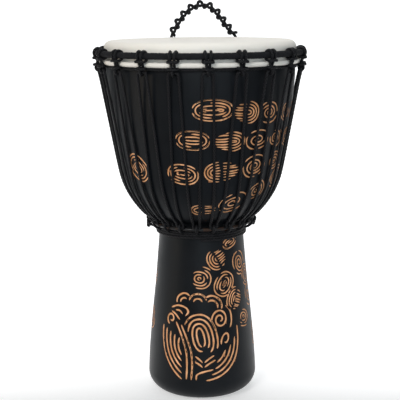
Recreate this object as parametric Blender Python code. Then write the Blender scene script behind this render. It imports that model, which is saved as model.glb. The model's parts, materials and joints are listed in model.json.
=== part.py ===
"""Djembe: a goblet drum of carved wood with a goatskin head on rope-tensioned rings.

Metres, +Z up, the foot stands on z = 0 and the player's side faces -Y. Angles run from -Y
towards +X, so a place at radius r and angle a is (r sin a, -r cos a).
"""

import math

import bmesh
import bpy
from mathutils import Vector

SEGMENTS = 40
GAP = 0.0003

# Shell: foot, waist and bowl.
HEIGHT = 0.600
FOOT_RADIUS = 0.0934
FOOT_ROUNDING = 0.030
FOOT_BORE_RADIUS = 0.057
WAIST_RADIUS = 0.072
WAIST_TOP = 0.297
THROAT_RADIUS = 0.046
RIM_RADIUS = 0.1578
RIM_ROUNDING = 0.010
BOWL_SPLIT = 0.371

# Head.
SKIN_THICKNESS = 0.0012
FLESH_RING_WIRE = 0.003
FLESH_RING_Z = 0.567

RIM_CENTRE = (RIM_RADIUS - RIM_ROUNDING, HEIGHT - SKIN_THICKNESS - GAP - RIM_ROUNDING)

# Rings and ropes.
ROPE_RADIUS = 0.0019
CLEARANCE = 2 * ROPE_RADIUS + GAP
CROWN_RING_RADIUS = 0.168
CROWN_RING_Z = 0.5805
CROWN_WIRE = 0.003
CLOTH_THICKNESS = 0.001
CRADLE_RADIUS = 0.1615
CRADLE_Z = 0.5602
BOTTOM_RING_RADIUS = 0.082
BOTTOM_RING_Z = 0.2955
BOTTOM_WIRE = 0.003

# Lacing: knots on the crown ring alternate with loops on the bottom ring.
KNOTS = 20
KNOT_STEP = math.tau / KNOTS
FIRST_KNOT = math.radians(4)
TOP_EYE = (0.171, 0.556)
BOTTOM_EYE = (0.0875, 0.299)
ROPE_SPREAD_TOP = 0.0082
ROPE_SPREAD_BOTTOM = 0.0052
BIGHT_TOP = 0.0046
BIGHT_BOTTOM = 0.0036
LACING_TOP = (0.1702, 0.5524)
LACING_BEND = (0.0914, 0.3093)
LACING_BOTTOM = (0.0884, 0.3032)

# Waist wrap.
WRAP_TURNS = 3.2
WRAP_PITCH = 0.00415
WRAP_START_Z = 0.2763
END_KNOT_SIZE = 0.004
END_KNOT_PLACE = (0.0898, 0.291)
LACING_KNOT_ANGLE = math.radians(-86)
WRAP_KNOT_ANGLE = math.radians(94)

# Handle, a stiff rope arch that swings on two rope ties behind the head.
HANDLE_Y = 0.160
HANDLE_Z = 0.593
HITCH_TURNS = 9.5
HITCH_OFFSET = 2 * ROPE_RADIUS + 2 * GAP
TIE_LEFT_X = -0.042
TIE_RIGHT_X = 0.050
TIE_ROUND_HANDLE = 0.0043
TIE_ROUND_RING = 0.0073
HANDLE_ROUTE = (
    (-0.0325, 0.593), (-0.0345, 0.593), (-0.0375, 0.593), (-0.039, 0.593),
    (-0.049, 0.593), (-0.0523, 0.597),
    (-0.0505, 0.604), (-0.045, 0.613), (-0.040, 0.621), (-0.033, 0.632), (-0.024, 0.642),
    (-0.013, 0.650), (0.002, 0.6545), (0.018, 0.6515), (0.031, 0.6425), (0.041, 0.631),
    (0.050, 0.6195), (0.058, 0.610), (0.066, 0.6025), (0.0712, 0.5975), (0.068, 0.593),
    (0.0475, 0.593), (0.0462, 0.593), (0.0437, 0.593), (0.0417, 0.593),
)
STOPPER_SWELL = 1.85

# The bowl's outside from the waist to the rim, where the ropes lie on it.
BOWL = (
    (0.074, 0.3005), (0.078, 0.3035), (0.085, 0.3085), (0.095, 0.3142), (0.1075, 0.328),
    (0.120, 0.347), (0.1305, 0.371), (0.138, 0.404), (0.143, 0.431), (0.148, 0.458),
    (0.154, 0.501), (0.1574, 0.541),
)
FOOT_TAPER = ((0.092, 0.062), (0.0883, 0.106), (0.084, 0.148), (0.079, 0.192), (0.0752, 0.235))
INSIDE = (
    (0.1455, 0.5955), (0.1445, 0.585), (0.142, 0.520), (0.136, 0.460), (0.127, 0.408), (0.118, 0.372),
    (0.106, 0.347), (0.090, 0.326), (0.070, 0.310), (0.052, 0.296), (THROAT_RADIUS, 0.284),
    (0.047, 0.268), (0.062, 0.160), (0.070, 0.085), (0.070, 0.045), (0.062, 0.012),
    (FOOT_BORE_RADIUS, 0.0),
)


def clear_scene():
    for obj in list(bpy.data.objects):
        bpy.data.objects.remove(obj, do_unlink=True)


def make_material(name, colour, roughness, metallic=0.0):
    material = bpy.data.materials.new(name)
    material.use_nodes = True
    shader = material.node_tree.nodes["Principled BSDF"]
    shader.inputs["Base Color"].default_value = (*colour, 1.0)
    shader.inputs["Roughness"].default_value = roughness
    shader.inputs["Metallic"].default_value = metallic
    return material


def add_object(name, data, material, parent=None, at=(0, 0, 0)):
    """Puts data in the scene under a parent whose place is at; data holds world places."""
    obj = bpy.data.objects.new(name, data)
    data.materials.append(material)
    bpy.context.scene.collection.objects.link(obj)
    if parent is not None:
        obj.parent = parent
        obj.location = -Vector(at)
    return obj


def add_empty(name, place, parent=None):
    empty = bpy.data.objects.new(name, None)
    bpy.context.scene.collection.objects.link(empty)
    empty.location = place
    empty.parent = parent
    return empty


def arc(centre, radius, start, end, steps):
    """Points on an arc in the (radius, z) plane, angles in degrees from outward to up."""
    points = []
    for i in range(steps + 1):
        angle = math.radians(start + (end - start) * i / steps)
        x = centre[0] + radius * math.cos(angle)
        points.append((x, centre[1] + radius * math.sin(angle)))
    return points


def revolve(name, outline, material, parent=None, at=(0, 0, 0), closed=True):
    """Spins an outline of (radius, z) points about Z; an open one has both ends on the axis."""
    mesh_builder = bmesh.new()
    sine = math.sin(FIRST_KNOT)
    cosine = math.cos(FIRST_KNOT)
    ring = [mesh_builder.verts.new((r * sine, -r * cosine, z)) for r, z in outline]
    pairs = list(zip(ring, ring[1:]))
    if closed:
        pairs.append((ring[-1], ring[0]))
    edges = [mesh_builder.edges.new(pair) for pair in pairs]
    bmesh.ops.spin(
        mesh_builder, geom=ring + edges, cent=(0, 0, 0), axis=(0, 0, 1), dvec=(0, 0, 0),
        angle=math.tau, steps=SEGMENTS, use_merge=True, use_duplicate=False,
    )
    bmesh.ops.remove_doubles(mesh_builder, verts=mesh_builder.verts, dist=0.00001)
    bmesh.ops.recalc_face_normals(mesh_builder, faces=mesh_builder.faces)
    mesh = bpy.data.meshes.new(name)
    mesh_builder.to_mesh(mesh)
    mesh_builder.free()
    mesh.shade_smooth()
    mesh.set_sharp_from_angle(angle=math.radians(50))
    return add_object(name, mesh, material, parent, at)


def rope_section(radius, sides):
    """A hidden closed outline that a rope's curve is bevelled with."""
    curve = bpy.data.curves.new("rope_section", "CURVE")
    spline = curve.splines.new("POLY")
    spline.points.add(sides - 1)
    for i, point in enumerate(spline.points):
        angle = -math.tau * i / sides
        point.co = (radius * math.cos(angle), radius * math.sin(angle), 0, 1)
    spline.use_cyclic_u = True
    section = bpy.data.objects.new("rope_section", curve)
    section.hide_render = True
    section.display_type = "WIRE"
    bpy.context.scene.collection.objects.link(section)
    return section


def rope(name, points, material, section, parent=None, at=(0, 0, 0), closed=False, swell=None):
    """A rope along points, as a bevelled curve; swell maps a point's number to a wider size."""
    curve = bpy.data.curves.new(name, "CURVE")
    curve.dimensions = "3D"
    curve.bevel_mode = "OBJECT"
    curve.bevel_object = section
    curve.use_fill_caps = not closed
    curve.twist_mode = "MINIMUM"
    spline = curve.splines.new("POLY")
    spline.points.add(len(points) - 1)
    for i, place in enumerate(points):
        spline.points[i].co = (*place, 1)
        spline.points[i].radius = (swell or {}).get(i, 1.0)
    spline.use_cyclic_u = closed
    spline.use_smooth = True
    return add_object(name, curve, material, parent, at)


def place_at(radius, z, angle, side=0.0):
    """The place at a radius, height and angle, moved sideways along the tangent."""
    x = radius * math.sin(angle) + side * math.cos(angle)
    y = -radius * math.cos(angle) + side * math.sin(angle)
    return (x, y, z)


def belt(small, small_radius, large, large_radius, steps):
    """A closed loop round two pulleys in a plane, outside both; steps points on each end."""
    heading = math.degrees(math.atan2(small[1] - large[1], small[0] - large[0]))
    step = 180 / steps
    points = []
    for centre, radius, turn in ((small, small_radius, 0), (large, large_radius, 180)):
        outer = radius / math.cos(math.radians(step / 2))
        first = heading + turn - 90 + step / 2
        points += arc(centre, outer, first, first + 180 - step, steps - 1)
    return points


def bowl_offset(distance):
    """The bowl's outline moved outwards, mitred, so it stays parallel; top point first."""
    moved = []
    for before, here, after in zip(BOWL, BOWL[1:], BOWL[2:]):
        first = Vector((here[1] - before[1], before[0] - here[0])).normalized()
        second = Vector((after[1] - here[1], here[0] - after[0])).normalized()
        mitre = (first + second).normalized()
        reach = distance / mitre.dot(first)
        moved.append((here[0] + mitre.x * reach, here[1] + mitre.y * reach))
    return moved[::-1]


def shell_outside():
    """The outside of the wooden body from under the foot up to the top of the rim."""
    foot_centre = (FOOT_RADIUS - FOOT_ROUNDING, FOOT_ROUNDING)
    line = arc(foot_centre, FOOT_ROUNDING, -90, 0, 4)
    line += FOOT_TAPER
    line += [(WAIST_RADIUS, 0.276), (WAIST_RADIUS, WAIST_TOP)]
    line += BOWL
    line += [(RIM_RADIUS, 0.560)]
    line += arc(RIM_CENTRE, RIM_ROUNDING, 0, 90, 4)
    return line


def part_of_line(line, low, high):
    """The part of a rising line of (radius, z) points between two heights."""
    kept = [point for point in line if low < point[1] < high]
    for edge, at in ((low, 0), (high, len(kept) + 1)):
        for before, after in zip(line, line[1:]):
            if before[1] <= edge <= after[1] and before[1] < after[1]:
                share = (edge - before[1]) / (after[1] - before[1])
                kept.insert(at, (before[0] + (after[0] - before[0]) * share, edge))
                break
    return kept


def shell_outline(low, high):
    """The outline of the wooden body between two heights."""
    outside = part_of_line(shell_outside(), low, high)
    return outside + part_of_line(INSIDE[::-1], low, high)[::-1]


def skirt_outline():
    """The goatskin from the top of the rim down its side, then under and up round its ring."""
    inner = RIM_ROUNDING + GAP
    outer = inner + SKIN_THICKNESS
    ring_centre = (RIM_RADIUS + 2 * GAP + SKIN_THICKNESS + FLESH_RING_WIRE, FLESH_RING_Z)
    tuck = FLESH_RING_WIRE + GAP
    outline = arc(RIM_CENTRE, outer, 90, 0, 4)
    outline += arc(ring_centre, tuck, 180, 405, 5)
    outline += arc(ring_centre, tuck + SKIN_THICKNESS, 405, 180, 5)
    return outline + arc(RIM_CENTRE, inner, 0, 90, 4)


def crown_loop_outline():
    """A rope loop that rounds the crown ring and comes down outside to hold the lacing."""
    ring = (CROWN_RING_RADIUS, CROWN_RING_Z)
    round_ring = (CROWN_WIRE + GAP + CLOTH_THICKNESS + GAP + ROPE_RADIUS) / math.cos(math.pi / 8)
    round_eye = CLEARANCE / math.cos(math.pi / 8)
    outline = arc(ring, round_ring, 22.5, 292.5, 6)
    outline += [(0.171, 0.571), (0.1698, 0.5672), (TOP_EYE[0] - CLEARANCE, 0.559)]
    outline += arc(TOP_EYE, round_eye, 202.5, 337.5, 3)
    return outline


def lacing_points():
    """One rope that zigzags between the crown loops and the bottom loops, and closes."""
    on_bowl = [p for p in bowl_offset(ROPE_RADIUS + 2 * GAP) if 0.312 < p[1] < 0.440]
    top_turn = math.asin(ROPE_SPREAD_TOP / TOP_EYE[0])
    bottom_turn = KNOT_STEP / 2 - math.asin(ROPE_SPREAD_BOTTOM / BOTTOM_EYE[0])
    z_top, z_bottom = LACING_TOP[1], LACING_BOTTOM[1]
    points = []
    for k in range(KNOTS):
        knot = FIRST_KNOT + k * KNOT_STEP
        loop = knot + KNOT_STEP / 2
        down = [place_at(*TOP_EYE, knot, BIGHT_TOP)]
        down += [place_at(*LACING_TOP, knot, ROPE_SPREAD_TOP)]
        for radius, z in on_bowl:
            share = (z_top - z) / (z_top - z_bottom)
            down.append(place_at(radius, z, knot + top_turn + (bottom_turn - top_turn) * share))
        down += [place_at(*LACING_BEND, loop, -ROPE_SPREAD_BOTTOM)]
        down += [place_at(*LACING_BOTTOM, loop, -ROPE_SPREAD_BOTTOM)]
        down += [place_at(*BOTTOM_EYE, loop, -BIGHT_BOTTOM)]
        points += down + mirrored(down, loop)[::-1]
    return points


def mirrored(points, angle):
    """The points reflected in the upright plane through the axis at an angle."""
    side = Vector((math.cos(angle), math.sin(angle), 0))
    return [tuple(Vector(p) - 2 * side.dot(Vector(p)) * side) for p in points]


def wrap_points():
    per_turn = 32
    radius = (WAIST_RADIUS + GAP) / math.cos(math.pi / per_turn) + ROPE_RADIUS + GAP / 2
    points = []
    for i in range(int(WRAP_TURNS * per_turn) + 1):
        turn = i / per_turn
        points.append(place_at(radius, WRAP_START_Z + WRAP_PITCH * turn, turn * math.tau))
    return points


def handle_points():
    return [(x, HANDLE_Y, z) for x, z in HANDLE_ROUTE]


def along(points, distance):
    """The place and the direction at a distance along a line of points."""
    for start, end in zip(points, points[1:]):
        run = (end - start).length
        if distance <= run:
            return start + (end - start) * (distance / run), (end - start) / run
        distance -= run
    return points[-1], (points[-1] - points[-2]).normalized()


def hitch_points():
    """The second strand of the handle, wound round the arch between its two feet."""
    arch = [Vector(p) for p in handle_points()][6:19]
    length = sum((b - a).length for a, b in zip(arch, arch[1:]))
    count = int(HITCH_TURNS * 10)
    points = []
    for i in range(count + 1):
        place, tangent = along(arch, length * i / count)
        across = tangent.cross(Vector((0, 1, 0)))
        angle = math.tau * HITCH_TURNS * i / count
        sideways = across * math.cos(angle) + Vector((0, 1, 0)) * math.sin(angle)
        points.append(tuple(place + sideways * HITCH_OFFSET))
    return points


def tie_points(x):
    """A rope loop in the plane x, round the crown ring and the handle's rope."""
    ring_y = math.sqrt(CROWN_RING_RADIUS**2 - x * x)
    outline = belt((HANDLE_Y, HANDLE_Z), TIE_ROUND_HANDLE, (ring_y, CROWN_RING_Z),
                   TIE_ROUND_RING, 4)
    return [(x, y, z) for y, z in outline]


def knot_ball(name, place, radius, material):
    mesh_builder = bmesh.new()
    bmesh.ops.create_icosphere(mesh_builder, subdivisions=2, radius=radius)
    bmesh.ops.translate(mesh_builder, verts=mesh_builder.verts, vec=place)
    mesh = bpy.data.meshes.new(name)
    mesh_builder.to_mesh(mesh)
    mesh_builder.free()
    mesh.shade_smooth()
    return add_object(name, mesh, material)


def ring_of_wire(name, centre, radius, sides, material, parent=None):
    outline = arc(centre, radius, 0, 360 - 360 / sides, sides - 1)
    return revolve(name, outline, material, parent)


def build_shell(wood, steel, cord, section):
    levels = (0.0, WAIST_TOP, BOWL_SPLIT, HEIGHT)
    for name, low, high in zip(("shell_foot", "shell_bowl_base", "shell_bowl"), levels, levels[1:]):
        revolve(name, shell_outline(low, high), wood)
    bottom_centre = (BOTTOM_RING_RADIUS, BOTTOM_RING_Z)
    ring_of_wire("bottom_ring", bottom_centre, BOTTOM_WIRE, 6, steel)
    around_wire = BOTTOM_WIRE + GAP + ROPE_RADIUS
    outline = belt(BOTTOM_EYE, CLEARANCE, bottom_centre, around_wire, 4)
    for k in range(KNOTS):
        angle = FIRST_KNOT + (k + 0.5) * KNOT_STEP
        points = [place_at(r, z, angle) for r, z in outline]
        rope(f"bottom_loop_{k + 1:02d}", points, cord, section, closed=True)
    rope("lacing_rope", lacing_points(), cord, section, closed=True)
    rope("waist_wrap_rope", wrap_points(), cord, section)
    for name, angle in (("lacing_end_knot", LACING_KNOT_ANGLE), ("wrap_end_knot", WRAP_KNOT_ANGLE)):
        knot_ball(name, place_at(*END_KNOT_PLACE, angle), END_KNOT_SIZE, cord)


def build_head(skin):
    edge = RIM_CENTRE[0]
    under = HEIGHT - SKIN_THICKNESS
    disc = ((0.0, HEIGHT), (edge, HEIGHT), (edge, under), (0.0, under))
    revolve("goatskin_head", disc, skin, closed=False)
    revolve("goatskin_skirt", skirt_outline(), skin)


def build_tension_rings(steel, cloth, cord, section):
    rings = add_empty("tension_rings", (0, 0, 0))
    ring = (CROWN_RING_RADIUS, CROWN_RING_Z)
    ring_of_wire("crown_ring", ring, CROWN_WIRE, 6, steel, rings)
    inside = CROWN_WIRE + GAP
    outline = arc(ring, inside + CLOTH_THICKNESS, -157.5, 157.5, 7)
    outline += arc(ring, inside, 157.5, -157.5, 7)
    revolve("crown_ring_wrap", outline, cloth, rings)
    flesh = (RIM_RADIUS + 2 * GAP + SKIN_THICKNESS + FLESH_RING_WIRE, FLESH_RING_Z)
    ring_of_wire("flesh_ring", flesh, FLESH_RING_WIRE, 6, steel, rings)
    ring_of_wire("cradle_rope", (CRADLE_RADIUS, CRADLE_Z), ROPE_RADIUS, 5, cord, rings)
    for k in range(KNOTS):
        angle = FIRST_KNOT + k * KNOT_STEP
        points = [place_at(r, z, angle) for r, z in crown_loop_outline()]
        rope(f"crown_loop_{k + 1:02d}", points, cord, section, rings, closed=True)
    rope("handle_tie_left", tie_points(TIE_LEFT_X), cord, section, rings, closed=True)
    rope("handle_tie_right", tie_points(TIE_RIGHT_X), cord, section, rings, closed=True)
    return rings


def build_handle(cord, section, rings):
    pivot_place = (0, HANDLE_Y, HANDLE_Z)
    pivot = add_empty("handle_pivot", pivot_place, rings)
    last = len(HANDLE_ROUTE) - 1
    swell = {1: STOPPER_SWELL, 2: STOPPER_SWELL, last - 1: STOPPER_SWELL, last - 2: STOPPER_SWELL}
    core = handle_points()
    rope("handle_core_rope", core, cord, section, pivot, pivot_place, swell=swell)
    rope("handle_hitch_rope", hitch_points(), cord, section, pivot, pivot_place)


def main():
    clear_scene()
    wood = make_material("painted_wood", (0.012, 0.013, 0.014), 0.42)
    skin = make_material("goatskin", (0.86, 0.82, 0.75), 0.55)
    steel = make_material("steel", (0.03, 0.03, 0.033), 0.45, 0.5)
    cloth = make_material("black_cloth", (0.012, 0.012, 0.013), 0.85)
    cord = make_material("black_rope", (0.010, 0.010, 0.011), 0.55)
    section = rope_section(ROPE_RADIUS, 5)
    build_shell(wood, steel, cord, section)
    build_head(skin)
    rings = build_tension_rings(steel, cloth, cord, section)
    build_handle(cord, section, rings)


main()
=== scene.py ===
"""The djembe's looks: carved shell, skin, rings, ropes and handle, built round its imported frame."""

import json
import math
import random

import bpy
import numpy as np
from bpy.props import FloatProperty, FloatVectorProperty, IntProperty, PointerProperty
from bpy.types import Operator, Panel, PropertyGroup
from mathutils import Matrix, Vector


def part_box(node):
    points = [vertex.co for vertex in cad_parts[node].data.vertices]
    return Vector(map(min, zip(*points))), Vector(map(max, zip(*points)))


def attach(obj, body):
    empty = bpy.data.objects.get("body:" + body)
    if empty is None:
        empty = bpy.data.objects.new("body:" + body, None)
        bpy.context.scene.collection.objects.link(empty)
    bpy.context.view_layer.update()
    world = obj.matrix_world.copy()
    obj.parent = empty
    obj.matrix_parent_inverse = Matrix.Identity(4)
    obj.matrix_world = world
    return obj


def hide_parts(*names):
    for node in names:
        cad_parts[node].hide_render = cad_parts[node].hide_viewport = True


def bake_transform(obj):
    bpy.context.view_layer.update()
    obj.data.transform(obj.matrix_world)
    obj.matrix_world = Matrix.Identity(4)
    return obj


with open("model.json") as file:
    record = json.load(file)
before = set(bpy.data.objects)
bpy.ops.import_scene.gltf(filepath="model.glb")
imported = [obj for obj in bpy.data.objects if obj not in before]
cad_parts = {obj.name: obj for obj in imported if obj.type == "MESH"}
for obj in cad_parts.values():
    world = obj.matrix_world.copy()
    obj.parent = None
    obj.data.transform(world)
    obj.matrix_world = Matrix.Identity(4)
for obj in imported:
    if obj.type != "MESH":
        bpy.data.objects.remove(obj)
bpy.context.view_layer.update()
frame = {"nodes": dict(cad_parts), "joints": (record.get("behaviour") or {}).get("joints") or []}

bl_info = {
    "name": "Carved Djembe",
    "version": (1, 0, 0),
    "blender": (4, 5, 0),
    "location": "3D View > Sidebar > Djembe",
    "description": "Builds a carved, rope-tuned djembe with detailed pieces and finishes",
    "category": "Object",
}

MM = 0.001
SHELL_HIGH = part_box("shell_bowl")[1]
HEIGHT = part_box("goatskin_head")[1].z
RIM_RADIUS = SHELL_HIGH.x
KNOTS = sum(name.startswith("crown_loop_") for name in frame["nodes"])
KNOT_STEP = math.tau / KNOTS
FIRST_KNOT = math.radians(4)
HANDLE_JOINT = next(j for j in frame["joints"] if j["name"] == "handle_swing")
HANDLE_Y, HANDLE_Z = HANDLE_JOINT["pos_m"][1:]


def ring_height(node):
    """The height of the middle of a ring-shaped node."""
    low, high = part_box(node)
    return (high.z + low.z) / 2


FLESH_RADIUS = 0.1626
FLESH_Z = ring_height("flesh_ring")
CROWN_RADIUS = 0.1686
CROWN_Z = ring_height("crown_ring")
WRAP_THICK = 0.0050
CRADLE_RADIUS = 0.1615
CRADLE_Z = 0.5602
BOTTOM_RADIUS = 0.082
BOTTOM_Z = ring_height("bottom_ring")
WIRE = 0.003
ROPE = 0.0023
TOP_EYE = (0.1690, 0.556)
RIM_ROUNDING = 0.010
BORE_EDGE = 0.057
FOOT_ROUNDING = 0.030
FOOT_CENTRE = (0.0634, FOOT_ROUNDING)
CARVED_LOW, CARVED_HIGH = 0.031, 0.556
RIM_CENTRE = (RIM_RADIUS - RIM_ROUNDING, HEIGHT - 0.0015 - RIM_ROUNDING)
BOTTOM_EYE = (0.0875, 0.299)
SPREAD_TOP = 0.0082
SPREAD_BOTTOM = 0.0052

FOOT_TAPER = ((92, 62), (88.3, 106), (84, 148), (79, 192), (75.2, 235), (72, 276), (72, 297))
BOWL = (
    (74, 300.5), (78, 303.5), (85, 308.5), (95, 314.2), (107.5, 328), (120, 347), (130.5, 371),
    (138, 404), (143, 431), (148, 458), (154, 501), (157.4, 541), (157.8, 560),
)
INSIDE = (
    (145.6, 597), (144.9, 592), (144.5, 585), (142, 520), (136, 460), (127, 408), (118, 372),
    (106, 347), (90, 326), (70, 310), (52, 296), (46, 284), (47, 268), (62, 160), (70, 85),
    (70, 45), (62, 12), (57.6, 2),
)
HANDLE_ROUTE = (
    (-32.5, 593), (-37.5, 593), (-44, 593), (-49, 593.4), (-51.8, 597), (-50.0, 604),
    (-45, 613.5), (-40, 622), (-32.5, 633.5), (-23, 644), (-12, 652), (3, 656.5), (18, 652.5),
    (29.5, 643), (38.5, 631.5), (47, 620), (54.5, 610.5), (61, 602.5), (65.5, 597.5),
    (63.5, 593.4), (57, 593), (50, 593), (46.2, 593), (41.7, 593),
)
HANDLE_ARCH = slice(5, 18)
HITCH_TURNS = 9.5
STRAND_SWING = 0.0014
STRAND_REACH = 0.0056
CLOTH_TURNS = 84
WINDING_RADIUS = 0.0720
WINDING_START = 0.2763
WINDING_TURNS = 3.2
WINDING_PITCH = 0.00415

# Carved ovals: angle in degrees, height, width and height of the oval in mm, tilt in degrees.
BOWL_OVALS = (
    (7, 498, 66, 35, 0), (28, 493, 46, 37, -4), (45, 490, 43, 35, -4), (63, 487, 44, 36, -4),
    (82, 484, 46, 34, -4),
    (-5, 451, 55, 32, -3), (18, 448, 53, 33, 0), (38, 448, 47, 32, 4), (57, 446, 44, 34, 0),
    (76, 444, 50, 32, 0),
    (-12, 396, 51, 34, -8), (14, 400, 58, 35, 4), (38, 405, 46, 37, 12), (61, 410, 48, 36, 10),
    (84, 416, 50, 34, 8), (-47, 401, 50, 40, -42),
    (2, 335, 42, 21, 2), (25, 346, 50, 32, 22), (46, 364, 42, 34, 32), (67, 380, 44, 32, 30),
)
FOOT_OVALS = (
    (41, 268, 33, 19, 20), (20, 243, 35, 37, 30), (57, 230, 35, 42, 20), (1, 212, 38, 45, -10),
    (29, 200, 36, 44, -32), (72, 205, 30, 38, 10), (43, 172, 34, 42, -25), (76, 168, 30, 38, 10),
    (58, 134, 30, 42, -15), (84, 98, 26, 44, -10), (-80, 128, 30, 40, 10), (-84, 200, 26, 36, 0),
)
MEDALLION = (0.5, 117)
MEDALLION_LINE = 1.3


class DjembeShellSettings(PropertyGroup):
    """Sizes and colours of the carved wooden shell."""

    paint: FloatVectorProperty(
        name="Paint", description="Satin paint on the outside", subtype="COLOR",
        default=(0.0032, 0.0040, 0.0052), min=0, max=1)
    wood: FloatVectorProperty(
        name="Carved wood", description="Bare wood in the grooves", subtype="COLOR",
        default=(0.84, 0.42, 0.18), min=0, max=1)
    bore: FloatVectorProperty(
        name="Inside wood", description="Raw wood inside the drum", subtype="COLOR",
        default=(0.30, 0.155, 0.07), min=0, max=1)
    groove_width: FloatProperty(
        name="Groove width", description="Width of a carved line", default=0.0025,
        min=0.001, max=0.006, unit="LENGTH")
    groove_pitch: FloatProperty(
        name="Groove pitch", description="Distance between neighbouring carved lines",
        default=0.0046, min=0.003, max=0.01, unit="LENGTH")
    segments: IntProperty(
        name="Segments", description="Facets round the shell", default=288, min=48, max=720)


class DjembeHeadSettings(PropertyGroup):
    """The goatskin."""

    skin: FloatVectorProperty(
        name="Skin", description="Colour of the goatskin", subtype="COLOR",
        default=(0.88, 0.865, 0.83), min=0, max=1)
    thickness: FloatProperty(
        name="Thickness", description="Thickness of the skin", default=0.0012,
        min=0.0005, max=0.002, unit="LENGTH")


class DjembeRopeSettings(PropertyGroup):
    """Ropes, knots and cloth."""

    rope: FloatVectorProperty(
        name="Rope", description="Colour of the braided rope", subtype="COLOR",
        default=(0.0045, 0.0045, 0.0055), min=0, max=1)
    cloth: FloatVectorProperty(
        name="Cloth", description="Colour of the strip round the crown ring", subtype="COLOR",
        default=(0.0055, 0.0055, 0.0065), min=0, max=1)
    radius: FloatProperty(
        name="Rope radius", description="Half the rope's diameter", default=ROPE,
        min=0.001, max=0.003, unit="LENGTH")
    handle_radius: FloatProperty(
        name="Handle strand radius", description="Half the handle strand's diameter",
        default=0.0028, min=0.001, max=0.003, unit="LENGTH")


class DjembeStageSettings(PropertyGroup):
    """Floor, lights and camera."""

    floor: FloatVectorProperty(
        name="Floor", description="Colour of the floor", subtype="COLOR",
        default=(0.93, 0.93, 0.93), min=0, max=1)
    glow: FloatProperty(
        name="Glow", description="Light given off by the paper behind the drum", default=0.75,
        min=0, max=2)
    distance: FloatProperty(
        name="Camera distance", description="From the drum's axis to the camera",
        default=1.670, min=0.5, max=5, unit="LENGTH")
    camera_height: FloatProperty(
        name="Camera height", description="Height of the camera above the floor",
        default=0.654, min=0, max=3, unit="LENGTH")
    pitch: FloatProperty(
        name="Camera pitch", description="How far the camera looks down",
        default=math.radians(11), min=0, max=1.5, unit="ROTATION")
    roll: FloatProperty(
        name="Camera roll", description="How far the camera leans", default=math.radians(-0.4),
        min=-0.5, max=0.5, unit="ROTATION")
    sideways: FloatProperty(
        name="Camera sideways", description="From the drum's middle to the camera",
        default=-0.0018, min=-1, max=1, unit="LENGTH")
    lens: FloatProperty(
        name="Lens", description="Focal length of the camera", default=89.64,
        min=20, max=200, unit="CAMERA")


# Shared mesh tools.


def smooth_line(points, closed=False, step=0.0012):
    """A centripetal curve through the points, as evenly spaced places a step apart."""
    points = np.asarray(points, float)
    if closed:
        line = np.vstack([points[-1], points, points[:2]])
    else:
        line = np.vstack([2 * points[0] - points[1], points, 2 * points[-1] - points[-2]])
    fine = []
    for a, b, c, d in zip(line, line[1:], line[2:], line[3:]):
        knots = np.cumsum([0] + [math.sqrt(np.linalg.norm(q - p)) + 1e-9
                                 for p, q in ((a, b), (b, c), (c, d))])
        t = np.linspace(knots[1], knots[2], 9)[:-1, None]

        def between(p, q, i, j):
            return ((knots[j] - t) * p + (t - knots[i]) * q) / (knots[j] - knots[i])

        ab, bc, cd = between(a, b, 0, 1), between(b, c, 1, 2), between(c, d, 2, 3)
        fine.append(between(between(ab, bc, 0, 2), between(bc, cd, 1, 3), 1, 2))
    fine.append(line[-2 if not closed else 1][None])
    fine = np.vstack(fine)
    run = np.concatenate([[0], np.cumsum(np.linalg.norm(np.diff(fine, axis=0), axis=1))])
    count = max(4, int(run[-1] / step))
    places = np.linspace(0, run[-1], count + 1)
    if closed:
        places = places[:-1]
    return np.stack([np.interp(places, run, fine[:, i]) for i in range(fine.shape[1])], axis=1)


def frames_along(points, closed):
    """Tangent, normal and side vectors that turn as little as possible along a line."""
    tangents = np.roll(points, -1, 0) - np.roll(points, 1, 0)
    if not closed:
        tangents[0] = points[1] - points[0]
        tangents[-1] = points[-1] - points[-2]
    tangents /= np.linalg.norm(tangents, axis=1)[:, None]
    start = np.cross(tangents[0], (0, 0, 1.0))
    if np.linalg.norm(start) < 0.1:
        start = np.cross(tangents[0], (1.0, 0, 0))
    normals = [start / np.linalg.norm(start)]
    for tangent in tangents[1:]:
        normal = normals[-1] - tangent * normals[-1].dot(tangent)
        normals.append(normal / np.linalg.norm(normal))
    normals = np.array(normals)
    sides = np.cross(tangents, normals)
    if closed:
        last = normals[-1] - tangents[0] * normals[-1].dot(tangents[0])
        turn = math.atan2(last.dot(sides[0]), last.dot(normals[0]))
        angles = -turn * np.arange(len(points)) / len(points)
        turned = np.cos(angles)[:, None] * normals + np.sin(angles)[:, None] * sides
        sides = np.cross(tangents, turned)
        normals = turned
    return tangents, normals, sides


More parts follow.
